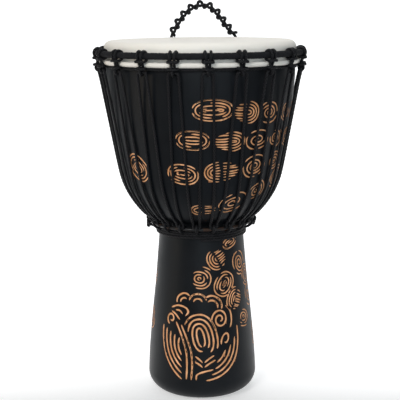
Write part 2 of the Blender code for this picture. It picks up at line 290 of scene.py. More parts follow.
def tube_parts(points, radius, sides, closed=False, relief=0.0, strands=8, pitch=0.006):
    """Vertices, faces and face-corner UVs (round, metres along) of one round rope."""
    points = np.asarray(points, float)
    count = len(points)
    _, normals, across = frames_along(points, closed)
    radii = np.broadcast_to(np.asarray(radius, float), (count,))
    run = np.concatenate([[0], np.cumsum(np.linalg.norm(np.diff(points, axis=0), axis=1))])
    turn = np.arange(sides) / sides
    angle = math.tau * turn
    braid = np.maximum(
        np.cos(strands * angle[None] / 2 + math.tau * run[:, None] / pitch),
        np.cos(strands * angle[None] / 2 - math.tau * run[:, None] / pitch))
    reach = radii[:, None] * (1 + relief * (braid - 1))
    rings = (points[:, None] + reach[..., None] * (
        np.cos(angle)[None, :, None] * normals[:, None]
        + np.sin(angle)[None, :, None] * across[:, None]))
    vertices = rings.reshape(-1, 3)
    faces, uvs = [], []
    full = run[-1] + (np.linalg.norm(points[0] - points[-1]) if closed else 0)
    for i in range(count if closed else count - 1):
        after = (i + 1) % count
        v0, v1 = run[i], (full if after == 0 else run[after])
        for j in range(sides):
            k = (j + 1) % sides
            faces.append((i * sides + j, i * sides + k, after * sides + k, after * sides + j))
            u0, u1 = j / sides, (j + 1) / sides
            uvs += [(u0, v0), (u1, v0), (u1, v1), (u0, v1)]
    if not closed:
        first = list(range(sides))[::-1]
        last = [(count - 1) * sides + j for j in range(sides)]
        for cap, at in ((first, 0.0), (last, run[-1])):
            faces.append(tuple(cap))
            uvs += [(j % sides / sides, at) for j in cap]
    return vertices, faces, uvs


def build_mesh(name, parts, material):
    """One object from several (vertices, faces, uvs) parts."""
    vertices = np.vstack([part[0] for part in parts])
    faces, uvs, offset = [], [], 0
    for points, part_faces, part_uvs in parts:
        faces += [tuple(i + offset for i in face) for face in part_faces]
        uvs += part_uvs
        offset += len(points)
    mesh = bpy.data.meshes.new(name)
    mesh.from_pydata(vertices.tolist(), [], faces)
    if uvs:
        layer = mesh.uv_layers.new(name="UVMap")
        layer.data.foreach_set("uv", np.asarray(uvs, np.float32).ravel())
    mesh.materials.append(material)
    mesh.shade_smooth()
    obj = bpy.data.objects.new(name, mesh)
    bpy.context.scene.collection.objects.link(obj)
    return obj


def rope_object(name, lines, material, radius, closed=True, sides=12, relief=0.10, step=0.0009):
    """A piece of one or more ropes that follow smooth curves through the given lines."""
    parts = []
    for line in lines:
        fine = smooth_line(line, closed, step)
        parts.append(tube_parts(fine, radius, sides, closed, relief))
    return build_mesh(name, parts, material)


def turned_parts(outline, segments, phase=0.0, wobble=None):
    """A turned surface, facing outwards, from a closed (radius, height) line that wobble moves."""
    outline = np.asarray(outline, float)
    onward = np.roll(outline, -1, 0)
    if (outline[:, 0] * onward[:, 1] - onward[:, 0] * outline[:, 1]).sum() > 0:
        outline = outline[::-1]
    count = len(outline)
    angles = phase + math.tau * np.arange(segments) / segments
    grid = np.empty((segments, count, 3))
    radius = np.broadcast_to(outline[:, 0], (segments, count)).copy()
    height = np.broadcast_to(outline[:, 1], (segments, count)).copy()
    if wobble is not None:
        radius, height = wobble(angles[:, None], radius, height)
    grid[..., 0] = radius * np.sin(angles)[:, None]
    grid[..., 1] = -radius * np.cos(angles)[:, None]
    grid[..., 2] = height
    run = np.concatenate([[0], np.cumsum(np.linalg.norm(np.diff(outline, axis=0), axis=1))])
    close = run[-1] + np.linalg.norm(outline[0] - outline[-1])
    reach = outline[:, 0].max()
    faces, uvs = [], []
    for i in range(segments):
        after = (i + 1) % segments
        u0, u1 = math.tau * reach * i / segments, math.tau * reach * (i + 1) / segments
        for j in range(count):
            k = (j + 1) % count
            faces.append((i * count + j, i * count + k, after * count + k, after * count + j))
            v0, v1 = run[j], (close if k == 0 else run[k])
            uvs += [(u0, v0), (u0, v1), (u1, v1), (u1, v0)]
    return grid.reshape(-1, 3), faces, uvs


def arc(centre, radius, start, end, steps):
    angles = np.radians(np.linspace(start, end, steps + 1))
    return np.stack([centre[0] + radius * np.cos(angles), centre[1] + radius * np.sin(angles)], 1)


def at_angle(radius, height, angle, side=0.0):
    """The place at a radius, height and angle from the front, moved sideways."""
    x = radius * math.sin(angle) + side * math.cos(angle)
    y = -radius * math.cos(angle) + side * math.sin(angle)
    return (x, y, height)


def curve_through(points, samples):
    """A smooth (radius, height) line through outline points in mm, in metres."""
    points = np.asarray(points, float) * MM
    length = np.linalg.norm(np.diff(points, axis=0), axis=1).sum()
    return smooth_line(points, step=length / (samples * (len(points) - 1)))


# The shell's outside, from the foot's rounding to the rim, is used by ropes and carving too.


def outer_line():
    foot = arc(FOOT_CENTRE, FOOT_ROUNDING, -90, 0, 14)
    taper = curve_through(((93.4, 30),) + FOOT_TAPER + BOWL, 7)
    return np.vstack([foot[:-1], taper])


OUTER = outer_line()
SIDE = OUTER[OUTER[:, 1] > 0.0299]


def outer_radius(height):
    return np.interp(height, SIDE[:, 1], SIDE[:, 0])


def outer_normal(height):
    """The radial and upward parts of the outside's normal at a height."""
    slope = (outer_radius(height + 0.0006) - outer_radius(height - 0.0006)) / 0.0012
    size = np.sqrt(1 + slope**2)
    return 1 / size, -slope / size


# Shader tools.


def add_node(tree, kind, inputs=None, **settings):
    """A node with its settings made and its inputs set to values or joined to outputs."""
    node = tree.nodes.new(kind)
    for key, value in settings.items():
        setattr(node, key, value)
    for key, value in (inputs or {}).items():
        if isinstance(value, bpy.types.NodeSocket):
            tree.links.new(value, node.inputs[key])
        else:
            node.inputs[key].default_value = value
    return node


def new_group(name, inputs, outputs):
    """An empty shader group; inputs are (name, default) and outputs are names."""
    tree = bpy.data.node_groups.new(name, "ShaderNodeTree")
    for label, default in inputs:
        socket = tree.interface.new_socket(label, in_out="INPUT", socket_type="NodeSocketFloat")
        socket.default_value = default
    for label in outputs:
        tree.interface.new_socket(label, in_out="OUTPUT", socket_type="NodeSocketFloat")
    return tree, tree.nodes.new("NodeGroupInput"), tree.nodes.new("NodeGroupOutput")


def maths(tree, operation, a, b=0.0):
    return add_node(tree, "ShaderNodeMath", {0: a, 1: b}, operation=operation).outputs[0]


def stretched_place(tree, along_z):
    """Object coordinates with the height squeezed, for grain that runs up the drum."""
    place = add_node(tree, "ShaderNodeTexCoord").outputs["Object"]
    return add_node(tree, "ShaderNodeMapping", {"Vector": place, "Scale": (1, 1, along_z)})


def make_grain_group():
    """Long wood fibres up the drum: a value and a height."""
    tree, source, sink = new_group(
        "wood_grain", (("Scale", 180.0), ("Figure", 22.0)), ("Value", "Height"))
    place = stretched_place(tree, 0.06).outputs[0]
    fibre = add_node(tree, "ShaderNodeTexNoise", {
        "Vector": place, "Scale": source.outputs["Scale"], "Detail": 6.0, "Roughness": 0.65})
    figure = add_node(tree, "ShaderNodeTexNoise", {
        "Vector": place, "Scale": source.outputs["Figure"], "Detail": 3.0, "Distortion": 0.6})
    value = maths(tree, "ADD", maths(tree, "MULTIPLY", fibre.outputs[0], 0.55),
                  maths(tree, "MULTIPLY", figure.outputs[0], 0.45))
    tree.links.new(value, sink.inputs["Value"])
    tree.links.new(fibre.outputs[0], sink.inputs["Height"])
    return tree


def make_blotch_group():
    """Soft patches, for tone, polish and stains."""
    tree, source, sink = new_group("blotches", (("Scale", 12.0), ("Contrast", 2.0)), ("Value",))
    place = add_node(tree, "ShaderNodeTexCoord").outputs["Object"]
    noise = add_node(tree, "ShaderNodeTexNoise", {
        "Vector": place, "Scale": source.outputs["Scale"], "Detail": 5.0, "Roughness": 0.55})
    spread = maths(tree, "MULTIPLY", maths(tree, "SUBTRACT", noise.outputs[0], 0.5),
                   source.outputs["Contrast"])
    value = add_node(tree, "ShaderNodeClamp", {"Value": maths(tree, "ADD", spread, 0.5)})
    tree.links.new(value.outputs[0], sink.inputs["Value"])
    return tree


def make_braid_group():
    """Crossing strands round a rope, from its UVs: round the rope and metres along it."""
    tree, source, sink = new_group(
        "rope_braid", (("Strands", 4.0), ("Pitch", 0.006), ("Fuzz", 2500.0)),
        ("Height", "Shade"))
    split = add_node(tree, "ShaderNodeSeparateXYZ", {
        "Vector": add_node(tree, "ShaderNodeTexCoord").outputs["UV"]})
    around = maths(tree, "MULTIPLY", split.outputs[0], source.outputs["Strands"])
    along = maths(tree, "DIVIDE", split.outputs[1], source.outputs["Pitch"])
    waves = []
    for operation in ("ADD", "SUBTRACT"):
        turn = maths(tree, "MULTIPLY", maths(tree, operation, around, along), math.tau)
        waves.append(maths(tree, "COSINE", turn))
    crest = maths(tree, "MAXIMUM", waves[0], waves[1])
    place = add_node(tree, "ShaderNodeTexCoord").outputs["Object"]
    fuzz = add_node(tree, "ShaderNodeTexNoise", {
        "Vector": place, "Scale": source.outputs["Fuzz"], "Detail": 2.0})
    height = maths(tree, "ADD", crest, maths(tree, "MULTIPLY", fuzz.outputs[0], 0.5))
    # Shade is 0 in the hollows between the strands and 1 on the crests; the rope and the cloth paint
    # it into their colour as painted shade and highlight.
    shade = add_node(tree, "ShaderNodeMapRange", {
        "Value": height, "From Min": -0.6, "From Max": 1.4, "To Min": 0.0, "To Max": 1.0})
    tree.links.new(height, sink.inputs["Height"])
    tree.links.new(shade.outputs[0], sink.inputs["Shade"])
    return tree


def make_wear_group():
    """Scuffs where the foot meets the floor, as a mask."""
    tree, source, sink = new_group("foot_wear", (("Top", 0.012), ("Scale", 90.0)), ("Mask",))
    place = add_node(tree, "ShaderNodeTexCoord").outputs["Object"]
    height = add_node(tree, "ShaderNodeSeparateXYZ", {"Vector": place}).outputs[2]
    low = add_node(tree, "ShaderNodeMapRange", {
        "Value": height, "From Min": 0.0, "From Max": source.outputs["Top"],
        "To Min": 0.18, "To Max": 0.0})
    noise = add_node(tree, "ShaderNodeTexNoise", {
        "Vector": place, "Scale": source.outputs["Scale"], "Detail": 6.0, "Roughness": 0.7})
    edge = maths(tree, "MULTIPLY", maths(tree, "SUBTRACT", maths(
        tree, "ADD", noise.outputs[0], low.outputs[0]), 0.86), 9.0)
    mask = add_node(tree, "ShaderNodeClamp", {"Value": edge})
    tree.links.new(mask.outputs[0], sink.inputs["Mask"])
    return tree


GROUP_MAKERS = {
    "wood_grain": make_grain_group, "blotches": make_blotch_group,
    "rope_braid": make_braid_group, "foot_wear": make_wear_group,
}


def group_node(tree, name, **inputs):
    """A shared group placed in a material; it is built the first time it is used."""
    shared = bpy.data.node_groups.get(name) or GROUP_MAKERS[name]()
    return add_node(tree, "ShaderNodeGroup", inputs, node_tree=shared)


def new_material(name, colour, roughness, **constants):
    """A material with a Principled shader; constants go straight on the shader's sockets."""
    material = bpy.data.materials.new(name)
    material.use_nodes = True
    tree = material.node_tree
    shader = tree.nodes["Principled BSDF"]
    shader.inputs["Base Color"].default_value = (*colour, 1)
    shader.inputs["Roughness"].default_value = roughness
    for key, value in constants.items():
        shader.inputs[key.replace("_", " ")].default_value = value
    material.diffuse_color = (*colour, 1)
    return material, tree, shader


def colour_between(tree, factor, dark, light):
    mix = add_node(tree, "ShaderNodeMix", data_type="RGBA")
    tree.links.new(factor, mix.inputs["Factor"])
    for key, value in (("A", dark), ("B", light)):
        socket = next(s for s in mix.inputs if s.name == key and s.type == "RGBA")
        if isinstance(value, bpy.types.NodeSocket):
            tree.links.new(value, socket)
        else:
            socket.default_value = (*value, 1)
    return next(s for s in mix.outputs if s.type == "RGBA")


def value_between(tree, value, low, high):
    return add_node(tree, "ShaderNodeMapRange", {
        "Value": value, "To Min": low, "To Max": high}).outputs[0]


def bump(tree, shader, height, distance, strength=1.0):
    node = add_node(tree, "ShaderNodeBump", {
        "Height": height, "Distance": distance, "Strength": strength})
    tree.links.new(node.outputs[0], shader.inputs["Normal"])


def scaled(colour, factor):
    return tuple(min(1.0, channel * factor) for channel in colour)


def paint_material(settings):
    """Satin black paint over wood: fibres show faintly, polish varies, the foot is scuffed."""
    material, tree, shader = new_material(
        "satin_paint", settings.paint, 0.4, Specular_IOR_Level=0.16)
    grain = group_node(tree, "wood_grain", Scale=240.0, Figure=26.0)
    patches = group_node(tree, "blotches", Scale=9.0, Contrast=2.2)
    wear = group_node(tree, "foot_wear", Top=0.004, Scale=130.0)
    tone = colour_between(
        tree, patches.outputs[0], scaled(settings.paint, 0.75), scaled(settings.paint, 1.9))
    streaks = value_between(tree, grain.outputs["Value"], 0.0, 0.35)
    tone = colour_between(tree, streaks, tone, scaled(settings.paint, 3.2))
    tone = colour_between(tree, wear.outputs[0], tone, scaled(settings.wood, 0.45))
    tree.links.new(tone, shader.inputs["Base Color"])
    tree.links.new(value_between(tree, patches.outputs[0], 0.33, 0.5), shader.inputs["Roughness"])
    bump(tree, shader, grain.outputs["Height"], 0.00022, 0.5)
    return material


def carved_material(settings):
    """Cut wood in the grooves: painted shade darkens the edge of each cut; down in the hollow the
    wood keeps its own colour, paler in patches.
    """
    material, tree, shader = new_material("carved_wood", settings.wood, 0.6)
    grain = group_node(tree, "wood_grain", Scale=420.0, Figure=60.0)
    patches = group_node(tree, "blotches", Scale=60.0, Contrast=3.0)
    # The cut's depth paints shade into the colour: the edge of each cut is darkened as painted shade,
    # and the deeper wood keeps its own colour.
    depth = add_node(tree, "ShaderNodeAttribute", attribute_name="cut_depth")
    down = add_node(tree, "ShaderNodeMapRange", {
        "Value": depth.outputs["Fac"], "From Min": 0.00005, "From Max": 0.00065})
    pale = (settings.wood[0] * 1.15, settings.wood[1] * 1.3, settings.wood[2] * 1.6)
    # The colour of the painted shade at the edge of each cut.
    painted_edge_shade = (settings.wood[0] * 0.3, settings.wood[1] * 0.22, settings.wood[2] * 0.18)
    light = colour_between(tree, value_between(tree, patches.outputs[0], -0.2, 1.2),
                           settings.wood, pale)
    tone = colour_between(tree, down.outputs[0], painted_edge_shade, light)
    tone = colour_between(tree, value_between(tree, patches.outputs[0], 0.45, 0.0), tone,
                          scaled(settings.wood, 0.62))
    tone = colour_between(tree, value_between(tree, grain.outputs["Value"], 0.35, -0.25), tone,
                          scaled(settings.wood, 0.3))
    tree.links.new(tone, shader.inputs["Base Color"])
    bump(tree, shader, grain.outputs["Height"], 0.0004, 0.8)
    return material


def bore_material(settings):
    """Rough raw wood inside the bowl and the foot."""
    material, tree, shader = new_material("raw_wood", settings.bore, 0.75)
    grain = group_node(tree, "wood_grain", Scale=150.0, Figure=14.0)
    tone = colour_between(tree, grain.outputs["Value"], scaled(settings.bore, 0.45),
                          scaled(settings.bore, 1.5))
    tree.links.new(tone, shader.inputs["Base Color"])
    bump(tree, shader, grain.outputs["Height"], 0.0008, 0.8)
    return material


def skin_material(settings):
    """Shaved goatskin: pale, faintly mottled, with pores and a warm tint in patches."""
    material, tree, shader = new_material(
        "goatskin", settings.skin, 0.55, Subsurface_Weight=0.12, Subsurface_Scale=0.004,
        Specular_IOR_Level=0.35)
    shader.inputs["Subsurface Radius"].default_value = (1.0, 0.6, 0.4)
    patches = group_node(tree, "blotches", Scale=16.0, Contrast=1.8)
    stains = group_node(tree, "blotches", Scale=55.0, Contrast=2.4)
    pores = group_node(tree, "blotches", Scale=900.0, Contrast=2.0)
    warm = (settings.skin[0] * 0.93, settings.skin[1] * 0.85, settings.skin[2] * 0.72)
    tone = colour_between(tree, patches.outputs[0], warm, settings.skin)
    tone = colour_between(
        tree, value_between(tree, stains.outputs[0], 0.22, 0.0), tone, scaled(warm, 0.8))
    tree.links.new(tone, shader.inputs["Base Color"])
    tree.links.new(value_between(tree, patches.outputs[0], 0.62, 0.48), shader.inputs["Roughness"])
    bump(tree, shader, pores.outputs[0], 0.0001, 0.6)
    return material


def rope_material(settings):
    """Black braided rope: smoother crests with a soft sheen, painted highlight on the crests and
    painted shade in the hollows.
    """
    material, tree, shader = new_material(
        "braided_rope", settings.rope, 0.5, Specular_IOR_Level=0.2)
    braid = group_node(tree, "rope_braid", Strands=4.0, Pitch=0.006)
    # Painted light: the colour is lightened on the braid's crests as painted highlight and darkened
    # in its hollows as painted shade.
    tone = colour_between(tree, braid.outputs["Shade"], scaled(settings.rope, 0.4),
                          scaled(settings.rope, 2.2))
    tree.links.new(tone, shader.inputs["Base Color"])
    tree.links.new(value_between(tree, braid.outputs["Shade"], 0.75, 0.42),
                   shader.inputs["Roughness"])
    bump(tree, shader, braid.outputs["Height"], 0.0003, 0.9)
    return material


def cloth_material(settings):
    """Black cotton strip wound round the crown ring, with a crossed weave."""
    material, tree, shader = new_material(
        "cotton_strip", settings.cloth, 0.85, Specular_IOR_Level=0.2)
    weave = group_node(tree, "rope_braid", Strands=1400.0, Pitch=0.0009)
    dust = group_node(tree, "blotches", Scale=140.0, Contrast=2.5)
    # Painted light: the weave's colour is darker between the threads as painted shade and lighter on
    # them as painted highlight; the pale blotches after this are dust.
    tone = colour_between(tree, weave.outputs["Shade"], scaled(settings.cloth, 0.5),
                          scaled(settings.cloth, 1.8))
    tone = colour_between(tree, value_between(tree, dust.outputs[0], 0.0, 0.22), tone,
                          scaled(settings.cloth, 6.0))
    tree.links.new(tone, shader.inputs["Base Color"])
    bump(tree, shader, weave.outputs["Height"], 0.00015, 0.7)
    return material


def steel_material():
    """Welded rod under black lacquer, with rust where the lacquer has gone."""
    material, tree, shader = new_material(
        "lacquered_steel", (0.012, 0.012, 0.013), 0.42, Metallic=0.3, Specular_IOR_Level=0.4)
    rust = group_node(tree, "blotches", Scale=150.0, Contrast=5.0)
    tone = colour_between(tree, value_between(tree, rust.outputs[0], -1.6, 0.7),
                          (0.012, 0.012, 0.013), (0.07, 0.033, 0.018))
    tree.links.new(tone, shader.inputs["Base Color"])
    tree.links.new(value_between(tree, rust.outputs[0], 0.35, 0.7), shader.inputs["Roughness"])
    bump(tree, shader, rust.outputs[0], 0.0002, 0.4)
    return material


def shared_material(name, maker):
    return bpy.data.materials.get(name) or maker()


# Carving: strokes are lists of (x, y) in mm on the flattened surface.


def oval(centre, a, b, start, end, tilt=0.0):
    """Part of an ellipse with slightly squared shoulders."""
    t = np.radians(np.linspace(start, end, 40))
    x = np.sign(np.cos(t)) * np.abs(np.cos(t)) ** 0.88 * a
    y = np.sign(np.sin(t)) * np.abs(np.sin(t)) ** 0.88 * b
    lean = math.radians(tilt)
    return np.stack([
        centre[0] + x * math.cos(lean) - y * math.sin(lean),
        centre[1] + x * math.sin(lean) + y * math.cos(lean)], 1)


def spiral(centre, a, b, turns, tilt=0.0, start=0.12, first=0.0):
    """A stroke that winds out from near a centre to an oval of half-sizes a and b."""
    share = np.linspace(start, 1, int(26 * turns) + 6)
    t = math.radians(first) + math.tau * turns * share
    lean = math.radians(tilt)
    x, y = a * share * np.cos(t), b * share * np.sin(t)
    return np.stack([
        centre[0] + x * math.cos(lean) - y * math.sin(lean),
        centre[1] + x * math.sin(lean) + y * math.cos(lean)], 1)


def bow(start, end, bulge, count=24):
    """A stroke from start to end that bulges sideways at its middle."""
    start, end = np.asarray(start, float), np.asarray(end, float)
    t = np.linspace(0, 1, count)[:, None]
    run = end - start
    aside = np.array([-run[1], run[0]]) / max(np.linalg.norm(run), 0.001)
    return start + run * t + aside * bulge * 4 * t * (1 - t)


def kept_inside(stroke, a, b):
    """The pieces of a stroke that lie inside the ellipse of half-sizes a and b."""
    inside = (stroke[:, 0] / a) ** 2 + (stroke[:, 1] / b) ** 2 < 1
    pieces, run = [], []
    for point, keep in zip(stroke, inside):
        if keep:
            run.append(point)
        elif run:
            pieces.append(run)
            run = []
    pieces.append(run)
    return [np.array(piece) for piece in pieces if len(piece) > 3]


def eye_motif(a, b, pitch, dice):
    """Nested broken ovals round a short heart line."""
    strokes = []
    turn = dice.uniform(-25, 25)
    ring = 0
    while b - ring * pitch > 1.4:
        gap = 9 + 7 * ring
        cut = turn + (90 if ring % 2 else 0) + dice.uniform(-20, 20)
        size = (a - ring * pitch * 1.06, b - ring * pitch)
        strokes.append(oval((0, 0), *size, cut + gap, cut + 180 - gap))
        strokes.append(oval((0, 0), *size, cut + 180 + gap, cut + 360 - gap / 2))
        ring += 1
    heart = max(a - ring * pitch * 1.06, 2.5)
    strokes.append(bow((-heart, 0), (heart, 0), dice.uniform(-1, 1)))
    return strokes


def whorl_motif(a, b, pitch, dice):
    """A spiral in an outer broken ring."""
    turns = max(1.4, (min(a, b) - pitch) / pitch)
    first = dice.uniform(0, 360)
    strokes = [spiral((0, 0), a - pitch, b - pitch, turns, first=first)]
    cut = dice.uniform(0, 360)
    for start, end in ((12, 118), (134, 226), (240, 348)):
        strokes.append(oval((0, 0), a, b, cut + start, cut + end))
    return strokes


def offset_motif(a, b, pitch, dice):
    """Rings round a point beside the middle, kept inside the oval."""
    centre = (dice.choice((-1, 1)) * a * 0.28, dice.uniform(-0.15, 0.15) * b)
    strokes = []
    ring = 0
    while ring * pitch < 1.5 * a:
        radius = 2.2 + ring * pitch
        cut = dice.uniform(0, 360)
        circle = oval(centre, radius * 1.2, radius, cut, cut + 338)
        strokes += kept_inside(circle, a - 0.6, b - 0.6)
        ring += 1
    return strokes


def comb_motif(a, b, pitch, dice):
    """Nested arcs on one side and a comb of level lines on the other."""
    side = dice.choice((-1, 1))
    strokes = []
    ring = 0
    while b - ring * pitch > 1.2:
        size = (a - ring * pitch, b - ring * pitch)
        strokes.append(oval((0, 0), *size, 98, 262))
        ring += 1
    level = -b + pitch * 0.5
    while level < b:
        reach = a * math.sqrt(max(0.0, 1 - (level / b) ** 2))
        if reach > 5:
            strokes.append(bow((1.5, level), (reach, level * 0.9), dice.uniform(-1.4, 1.4)))
        level += pitch
    return [stroke * (side, 1) for stroke in strokes]


MOTIFS = (eye_motif, comb_motif, whorl_motif, offset_motif, eye_motif)


def medallion_strokes():
    """The large round figure on the foot: stem, leaf, whorls and fans."""

    def line(*points):
        return smooth_line(points, step=2)

    strokes = [
        line((-47, 20), (-36, -2), (-27.5, -28), (-25.5, -52), (-26.5, -77)),
        line((-37, 16), (-28, -3), (-19.5, -26), (-17, -50), (-18.5, -77)),
        line((-10.5, -77), (-9.5, -68), (-2, -63.5), (17, -59)),
        line((-58, 43), (-44, 48), (-28, 44), (-25, 38), (-30, 31)),
        line((-57, 37), (-48, 32), (-40, 24)),
        line((-49, 40), (-40, 39), (-35, 34)),
    ]
    for ring in range(5):
        top = (-74 + 8.6 * ring, 11 - 4.2 * ring)
        strokes.append(bow(top, (-34 - 0.2 * ring, -77 + 10.5 * ring), -12.5 + 2.2 * ring))
    strokes.append(spiral((-57, 24), 9, 11, 1.35, first=120, start=0.2))
    for ring, (start, end) in enumerate(((-80, 262), (-55, 266), (-62, 158), (-38, 138))):
        strokes.append(oval((-3, -4), 6 + 7.2 * ring, 16 + 7.6 * ring, start, end, 12))
    for ring in range(2):
        low = -47 - 7.8 * ring
        strokes.append(bow((-12, low + 11 - 2 * ring), (0, low), 0.8))
        strokes.append(bow((3, low + 0.5), (19 + 2 * ring, low + 12), 0.8))
    for x, y, lean, sizes in (
            (-33, 58, 28, (14, 6.5)), (-8, 56, 0, (16, 8)), (17, 50, -32, (18, 10.5))):
        for size in sizes:
            strokes.append(oval((x, y - 3), size, size, 15, 165, lean))
    strokes.append(spiral((31, 25), 15, 17, 2.1, first=150, start=0.15))
    strokes.append(oval((31, 25), 22.5, 24.5, -38, 62))
    strokes.append(spiral((40, -10), 8, 14, 1.35, tilt=-18, first=100, start=0.3))
    for ring in range(4):
        strokes.append(oval((-6, -3), 71 - 7.4 * ring, 75 - 7.6 * ring, -83 + 9 * ring,
                            8 - 11 * ring))
    return strokes


def carved_strokes(pitch):
    """Every stroke as (angle, height, points, width), points in mm on the surface."""
    dice = random.Random(11)
    found = []
    for row, (angle, height, wide, high, tilt) in enumerate(BOWL_OVALS + FOOT_OVALS):
        motif = MOTIFS[row % len(MOTIFS)]
        lean = math.radians(tilt)
        for stroke in motif(wide / 2 - 1.2, high / 2 - 1.2, pitch / MM, dice):
            turned = np.stack([
                stroke[:, 0] * math.cos(lean) - stroke[:, 1] * math.sin(lean),
                stroke[:, 0] * math.sin(lean) + stroke[:, 1] * math.cos(lean)], 1)
            found.append((angle, height, turned, 1.0))
    for stroke in medallion_strokes():
        found.append((*MEDALLION, stroke, MEDALLION_LINE))
    return found


def groove_tube(angle, height, stroke, width):
    """A tapered tube half sunk in the surface along a stroke, to be cut from the shell."""
    length = np.linalg.norm(np.diff(stroke, axis=0), axis=1).sum()
    if length < 3:
        return None
    fine = smooth_line(stroke, step=1.3)
    z = height * MM + fine[:, 1] * MM
    radius = outer_radius(z)
    out, up = outer_normal(z)
    middle_radius = outer_radius(height * MM)
    theta = math.radians(angle) + fine[:, 0] * MM / middle_radius
    lift = 0.0002
    reach = radius + out * lift
    places = np.stack([reach * np.sin(theta), -reach * np.cos(theta), z + up * lift], 1)
    share = np.linspace(0, 1, len(places))
    taper = np.clip(np.minimum(share, 1 - share) * length / 5.5, 0.0, 1.0)
    half = width / 2 * (0.26 + 0.74 * np.sqrt(taper))
    swell = 1 + 0.10 * np.sin(share * length / 2.7 + angle)
    vertices, faces, _ = tube_parts(places, half * swell, 8)
    return vertices, faces, []


def cut_grooves(shell, settings, carved):
    """Cuts every stroke from the shell."""
    parts = []
    for half_turn in (0, 180):
        for angle, height, stroke, share in carved_strokes(settings.groove_pitch):
            tube = groove_tube(angle + half_turn, height, stroke, settings.groove_width * share)
            if tube is not None:
                parts.append(tube)
    cutter = build_mesh("groove_cutter", parts, carved)
    modifier = shell.modifiers.new("grooves", "BOOLEAN")
    modifier.operation = "DIFFERENCE"
    modifier.object = cutter
    modifier.solver = "MANIFOLD"
    graph = bpy.context.evaluated_depsgraph_get()
    cut = bpy.data.meshes.new_from_object(shell.evaluated_get(graph), depsgraph=graph)
    shell.modifiers.clear()
    old = shell.data
    shell.data = cut
    bpy.data.meshes.remove(old)
    bpy.data.objects.remove(cutter)


def mark_faces(mesh, paint, carved, bore):
    """Gives each face its finish by where it lies, and true turned normals to the paint."""
    mesh.materials.clear()
    for material in (paint, carved, bore):
        mesh.materials.append(material)
    count = len(mesh.polygons)
    centre = np.empty(count * 3)
    normal = np.empty(count * 3)
    mesh.polygons.foreach_get("center", centre)
    mesh.polygons.foreach_get("normal", normal)
    centre, normal = centre.reshape(-1, 3), normal.reshape(-1, 3)
    radius = np.hypot(centre[:, 0], centre[:, 1])
    height = centre[:, 2]
    depth = outer_radius(height) - radius
    out, up = outer_normal(height)
    facing = (centre[:, 0] * normal[:, 0] + centre[:, 1] * normal[:, 1]) / radius * out
    facing += normal[:, 2] * up
    on_side = (height > CARVED_LOW) & (height < CARVED_HIGH)
    groove = on_side & (depth * out > 0.00004) & (depth < 0.004) & (facing < 0.9985)
    inward = (centre[:, 0] * normal[:, 0] + centre[:, 1] * normal[:, 1]) / radius
    inside = (inward < -0.05) & (depth > 0.0075) & (height > 0.0005)
    slot = np.where(groove, 1, np.where(inside, 2, 0)).astype(np.int32)
    mesh.polygons.foreach_set("material_index", slot)
    mesh.shade_smooth()
    mesh.set_sharp_from_angle(angle=math.radians(32))
    spots = np.empty(len(mesh.vertices) * 3)
    mesh.vertices.foreach_get("co", spots)
    spots = spots.reshape(-1, 3)
    below = outer_radius(spots[:, 2]) - np.hypot(spots[:, 0], spots[:, 1])
    # cut_depth drives the carved wood's painted shade at the edge of each cut.
    cut = mesh.attributes.new("cut_depth", "FLOAT", "POINT")
    cut.data.foreach_set("value", np.clip(below, 0, 0.004).astype(np.float32))
    loops = len(mesh.loops)
    vertex_of = np.empty(loops, np.int32)
    mesh.loops.foreach_get("vertex_index", vertex_of)
    places = spots[vertex_of]
    totals = np.empty(count, np.int32)
    mesh.polygons.foreach_get("loop_total", totals)
    painted = np.repeat((slot == 0) & on_side & (facing > 0.9), totals)
    reach = np.hypot(places[:, 0], places[:, 1])
    out, up = outer_normal(places[:, 2])
    normals = np.stack([places[:, 0] / reach * out, places[:, 1] / reach * out, up], 1)
    normals[~painted] = 0
    mesh.normals_split_custom_set(normals.tolist())


class DJEMBE_OT_shell(Operator):
    """Turn the shell, carve its figures and paint it"""

    bl_idname = "djembe.shell"
    bl_label = "Carved shell"

    def execute(self, context):
        settings = context.scene.djembe_shell
        paint = shared_material("satin_paint", lambda: paint_material(settings))
        carved = shared_material("carved_wood", lambda: carved_material(settings))
        bore = shared_material("raw_wood", lambda: bore_material(settings))
        edge = arc(RIM_CENTRE, RIM_ROUNDING, 0, 100, 16)
        inside = curve_through(INSIDE, 4)
        outline = np.vstack([OUTER, edge, inside, [(BORE_EDGE, 0.0)]])
        parts = turned_parts(outline, settings.segments)
        shell = build_mesh("carved_shell", [parts], paint)
        # The cut only ends when the shell's faces point inwards, so they are turned for it.
        shell.data.flip_normals()
        cut_grooves(shell, settings, carved)
        shell.data.flip_normals()
        mark_faces(shell.data, paint, carved, bore)
        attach(shell, "shell")
        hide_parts("shell_foot", "shell_bowl_base", "shell_bowl")
        return {"FINISHED"}


